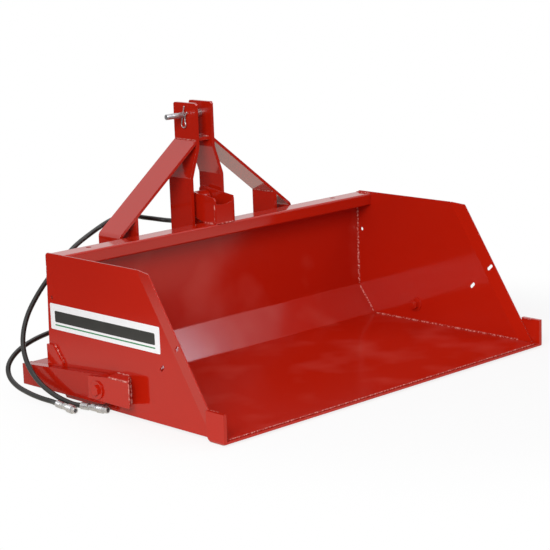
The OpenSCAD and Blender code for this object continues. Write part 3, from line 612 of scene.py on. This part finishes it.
BRACKET_X = -738
BRACKET_FRONT_Y = 380
BRACKET_FOOT_Y = 414
BRACKET_REAR_Y = 474
BRACKET_LOW_Z = 46
CAP_OUT_Z = 125
CAP_IN_Z = 132

BACK_Y = 801
RAIL_LOW_Z = 410
RAIL_SEAM_Z = 453
RAIL_TOP_Z = 454
STITCHES = 8
STITCH_START = -650
STITCH_STEP = 168
STITCH_L = 60


def weld_bucket():
    w = Welds("bucket")
    # rest stops: down the slanted front edge
    w.both((PLATE_OUT_X, 776, 171), (PLATE_OUT_X, 734, 119), radius=3.4)
    # brackets: the cap's outer, front and inner edges, the front wall's foot and its corner
    front, rear = BRACKET_FRONT_Y + 3, BRACKET_REAR_Y
    w.both((BRACKET_X, front, CAP_OUT_Z), (BRACKET_X, rear, CAP_OUT_Z), radius=2.8)
    out = (BRACKET_X + 1, BRACKET_FRONT_Y + 1, CAP_OUT_Z + 1)
    w.both(out, (PLATE_OUT_X - 1, BRACKET_FOOT_Y + 1, CAP_IN_Z - 1), radius=3)
    front = BRACKET_FOOT_Y + 6
    w.both((PLATE_OUT_X, front, CAP_IN_Z), (PLATE_OUT_X, rear, CAP_IN_Z), radius=2.4)
    foot = (PLATE_OUT_X, BRACKET_FOOT_Y, BRACKET_LOW_Z)
    corner = (BRACKET_X, BRACKET_FRONT_Y, BRACKET_LOW_Z)
    w.both(foot, (*foot[:2], CAP_IN_Z - 4), radius=3)
    w.both(corner, (*corner[:2], CAP_OUT_Z - 3), radius=1.8)
    # floor, slope and back to the side plates
    w.both((SEAM_X, 70, 17), (SEAM_X, 724, 17), radius=3.6)
    w.both((SEAM_X, 732, 22), (SEAM_X, 798, 108), radius=3.8)
    w.both((SEAM_X, BACK_Y, 116), (SEAM_X, BACK_Y, 408), radius=5)
    # cutting edge: cheeks to the bands, floor to the edge plate
    w.both((-706, 20, 92), (-705, 62, 92), radius=2.4)
    w.add((-FOLD_X, 0, 14), (FOLD_X, 0, 14), radius=2.2)
    # floor to slope
    w.add((-FOLD_X, 731, 15.6), (FOLD_X, 731, 15.6), radius=1.7)
    # slope to back
    w.add((-FOLD_X, 800.6, 111), (FOLD_X, 800.6, 111), radius=1.3)
    # rail to the sheet and to the side plates
    for k in range(STITCHES):
        x = STITCH_START + STITCH_STEP * k
        w.add((x, BACK_Y, RAIL_LOW_Z), (x + STITCH_L, BACK_Y, RAIL_LOW_Z), radius=2.2)
    w.both((SEAM_X, 736, RAIL_SEAM_Z), (SEAM_X, 804, RAIL_SEAM_Z), radius=2.6)
    # clevis to the rail, and its two plates to each other
    w.add((-46, 746, RAIL_TOP_Z), (-46, 798, RAIL_TOP_Z), radius=3)
    w.add((46, 754, RAIL_TOP_Z), (46, 798, RAIL_TOP_Z), radius=3)
    w.add((-44, 735, RAIL_TOP_Z), (30, 735, RAIL_TOP_Z), radius=3)
    w.add((-45, 744, 458), (-45, 744, 517), radius=2.4)
    w.finish()


ARM_X = -701
ARM_LOW_Z = 34
ARM_HIGH_Z = 90
BEAM_TOP_Z = 95
UPRIGHTS_X = (-74, -61, -317, -305, -386, -375)
BRACE_Y = (828, 930)
BRACE_TOP_X = -41
SPACER_X = -27
SPACER_Y = (840, 920)


def weld_frame():
    w = Welds("frame")

    def along_y(x, ends, z, radius):
        w.both((x, ends[0], z), (x, ends[1], z), radius=radius)

    # beam to the arms
    along_y(ARM_X, (826, 914), 94, radius=2.4)
    w.both((ARM_X, 824, ARM_LOW_Z), (ARM_X, 824, ARM_HIGH_Z), radius=2.4)
    w.both((ARM_X, 917, ARM_LOW_Z), (ARM_X, 917, ARM_HIGH_Z), radius=2.2)
    # mast plates, ears and braces on the beam
    for x in UPRIGHTS_X:
        along_y(x, (828, 912), BEAM_TOP_Z, radius=2.8)
    # braces to the mast, ears to the braces, and the spacer
    along_y(BRACE_TOP_X, BRACE_Y, 725, radius=2.8)
    along_y(BRACE_TOP_X, BRACE_Y, 712, radius=2.6)
    along_y(-318, BRACE_Y, 494, radius=2.6)
    along_y(-304, BRACE_Y, 506, radius=2.6)
    along_y(SPACER_X, SPACER_Y, 731, radius=2.4)
    along_y(SPACER_X, SPACER_Y, 719, radius=2.2)
    # lugs of the base pin
    along_y(-38, (852, 894), BEAM_TOP_Z, radius=2.6)
    w.finish()


weld_bucket()
weld_frame()


# Plain sticker, in millimetres

STICKER_Y = (272, 792)
STICKER_Z = (220, 301.5)
STICKER_T = 0.25
STICKER_GAP = 0.02
STRIPE_GAP = 0.28
STRIPE_MARGIN = 22
STRIPE_LOW = 24
LINE_LOW = 13
LINE_HIGH = 17
CORNER_R = 4.0
CORNER_STEPS = 4
LEAST_HEIGHT_IN_RADII = 2.2


def band(name, y0, y1, z0, z1, lift, material):
    """A thin flat strip on the left side plate, with rounded corners."""
    r = min(CORNER_R, (z1 - z0) / LEAST_HEIGHT_IN_RADII)
    outline = []
    for cy, cz, start in (
        (y1 - r, z1 - r, 0), (y0 + r, z1 - r, 90), (y0 + r, z0 + r, 180), (y1 - r, z0 + r, 270),
    ):
        for k in range(CORNER_STEPS + 1):
            a = math.radians(start + 90 * k / CORNER_STEPS)
            outline.append((cy + r * math.cos(a), cz + r * math.sin(a)))
    x0 = -HALF_W - lift
    x1 = x0 - STICKER_T
    verts = [at(x, y, z) for x in (x0, x1) for y, z in outline]
    n = len(outline)
    faces = [tuple(range(n)), tuple(reversed(range(n, 2 * n)))]
    faces += [(k, k + n, (k + 1) % n + n, (k + 1) % n) for k in range(n)]
    obj = new_object(name, verts, faces, material, smooth=False)
    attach(obj, "bucket")


def make_sticker():
    white = sticker("sticker_white", STICKER_WHITE, 0.98)
    dark = sticker("sticker_dark", STICKER_DARK, 1.3)
    green = sticker("sticker_green", STICKER_GREEN, 1.1)
    y0, y1 = STICKER_Y
    z0, z1 = STICKER_Z
    band("sticker_left", y0, y1, z0, z1, STICKER_GAP, white)
    y0, y1 = y0 + STRIPE_MARGIN, y1 - STRIPE_MARGIN
    band("sticker_left_band", y0, y1, z0 + STRIPE_LOW, z1 - STRIPE_MARGIN, STRIPE_GAP, dark)
    band("sticker_left_line", y0, y1, z0 + LINE_LOW, z0 + LINE_HIGH, STRIPE_GAP, green)


make_sticker()


# Spring clip, in millimetres but for its pin

PIN = at(0, 880, 807)
PIN_R = 9.5
CLIP_X = 47
CLIP_R = 2
CLIP_GAP = 0.08
CLIP_LEAN = math.radians(15)
CLIP_LEG = 31
CLIP_LOOP_R = 10.5
CLIP_DROP = 30
CLIP_RETURN = 0.85
CLIP_PRESS = 1.03
CLIP_TURN = 200
CLIP_TURN_STEPS = 8
CLIP_STEPS = 4
CLIP_SIDES = 14


def make_clip():
    """The clip's wire: down the straight leg, round the loop, and up past the pin."""
    reach = PIN_R + CLIP_R + CLIP_GAP
    flat = [(-CLIP_LEG, 0), (-CLIP_LEG / 2, 0), (0, 0), (CLIP_DROP / 2, 0)]
    for k in range(CLIP_TURN_STEPS + 1):
        a = math.radians(CLIP_TURN * k / CLIP_TURN_STEPS)
        flat.append((CLIP_DROP + CLIP_LOOP_R * math.sin(a), CLIP_LOOP_R * (1 - math.cos(a))))
    flat += [(q * CLIP_DROP, CLIP_LOOP_R * (CLIP_RETURN + q)) for q in (0.7, 0.45, 0.25)]
    flat += [(q * CLIP_LEG, reach * (CLIP_PRESS - q)) for q in (0, -0.2, -0.5)]
    c, s = math.cos(CLIP_LEAN), math.sin(CLIP_LEAN)
    points = [PIN + Vector((-CLIP_X, -y * c + z * s, -y * s - z * c)) * MM for z, y in flat]
    verts, faces = sweep(spline(points, CLIP_STEPS), CLIP_R * MM, CLIP_SIDES)
    clip = new_object("r_clip_wire", verts, faces, ZINC)
    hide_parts("r_clip")
    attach(clip, "clip")


make_clip()


# Floor and light

PAPER = (0.97, 0.97, 0.97)
PAPER_HALF = 30
PAPER_DROP = 0.4 * MM
# Far from the middle the paper is painted dark: painted shade, which dims the floor that the
# paint mirrors.
PAPER_FAR_PAINTED_SHADE = (0.15, 0.15, 0.15)
PAPER_MIDDLE = (0.25, -0.3, 0)
PAPER_REACH = (1.45, 2.3)
PAPER_MIRRORED = (1, 0.95, 0.84)
PAPER_SHEEN = 0.1
SHADOW_SHARE = 0.2
SHADOW_REACH = (0.8, 1.5)
WHITE = (1, 1, 1)
SKY_LIGHT = 0.35
LAMPS = (
    # name, place, target, size, power, colour
    ("key", (-4.0, -2.6, 2.8), (0, 0, 0.3), (2.6, 2.6), 185, WHITE),
    ("top", (0.4, 0.4, 4.2), (0, 0, 0.2), (3.2, 3.2), 30, WHITE),
    ("front", (1.9, -1.36, 2.34), (-0.2, 0.3, 0.06), (0.36, 0.5), 8, (0.88, 0.87, 1)),
)


def add_light(name, place, target, size, power, colour):
    data = bpy.data.lights.new(name, "AREA")
    data.shape = "RECTANGLE"
    data.size, data.size_y = size
    data.energy = power
    data.color = colour
    lamp = link(bpy.data.objects.new(name, data))
    lamp.matrix_world = aimed(Vector(place), Vector(place) - Vector(target))


def seen_rays(tree):
    """1 for camera rays, and 1 for the rays that mirrors and glass see by."""
    rays = tree.nodes.new("ShaderNodeLightPath").outputs
    mirror = math_node(tree, "MAXIMUM", rays["Is Glossy Ray"], rays["Is Transmission Ray"])
    return rays["Is Camera Ray"], mirror


def make_floor():
    """White paper, painted darker away from the middle as painted shade: seen rays get mostly
    plain white, and a share that shows the shadow; the white that mirrors see fades out there
    too.
    """
    n = Nodes("floor_paper")
    middle = n.add("ShaderNodeVectorMath", operation="DISTANCE")
    n.join(n.place, middle.inputs[0])
    middle.inputs[1].default_value = PAPER_MIDDLE
    distance = middle.outputs["Value"]
    near = n.fading(distance, PAPER_REACH)
    n.put("Base Color", n.ramp(near, [(0, PAPER_FAR_PAINTED_SHADE), (1, PAPER)]))
    n.put("Roughness", n.remap(n.noise(3.0), low=0.9, high=1.0))
    n.put("Specular IOR Level", PAPER_SHEEN)

    camera, mirror = seen_rays(n.tree)
    shown = math_node(n.tree, "MULTIPLY", n.fading(distance, SHADOW_REACH), SHADOW_SHARE)
    plain = math_node(n.tree, "MULTIPLY", camera, math_node(n.tree, "SUBTRACT", 1.0, shown))
    # the white that mirrors see fades away from the middle: painted shade in reflections
    bright = math_node(n.tree, "MULTIPLY", near, 1 - SHADOW_SHARE)
    mirrored = math_node(n.tree, "MULTIPLY", mirror, bright)
    white = n.add("ShaderNodeEmission", Strength=1.0)
    n.join(n.ramp(camera, [(0, PAPER_MIRRORED), (1, WHITE)]), white.inputs["Color"])
    mix = n.add("ShaderNodeMixShader")
    n.join(math_node(n.tree, "ADD", plain, mirrored), mix.inputs["Fac"])
    n.join(n.shader.outputs[0], mix.inputs[1])
    n.join(white.outputs[0], mix.inputs[2])
    n.join(mix.outputs[0], n.tree.nodes["Material Output"].inputs["Surface"])

    h, z = PAPER_HALF, -PAPER_DROP
    corners = [(-h, -h, z), (h, -h, z), (h, h, z), (-h, h, z)]
    new_object("floor", corners, [(0, 1, 2, 3)], n.material, smooth=False)


def make_world():
    """A dim white sky that shows as plain white."""
    world = bpy.data.worlds.new("studio")
    bpy.context.scene.world = world
    world.use_nodes = True
    tree = world.node_tree
    dim = tree.nodes["Background"]
    white = tree.nodes.new("ShaderNodeBackground")
    for background, strength in ((dim, SKY_LIGHT), (white, 1.0)):
        background.inputs["Color"].default_value = (*WHITE, 1)
        background.inputs["Strength"].default_value = strength
    mix = tree.nodes.new("ShaderNodeMixShader")
    tree.links.new(math_node(tree, "MAXIMUM", *seen_rays(tree)), mix.inputs["Fac"])
    tree.links.new(dim.outputs[0], mix.inputs[1])
    tree.links.new(white.outputs[0], mix.inputs[2])
    tree.links.new(mix.outputs[0], tree.nodes["World Output"].inputs["Surface"])


def make_studio():
    make_floor()
    make_world()
    for lamp in LAMPS:
        add_light(*lamp)


make_studio()
bpy.context.scene.view_settings.view_transform = "Standard"
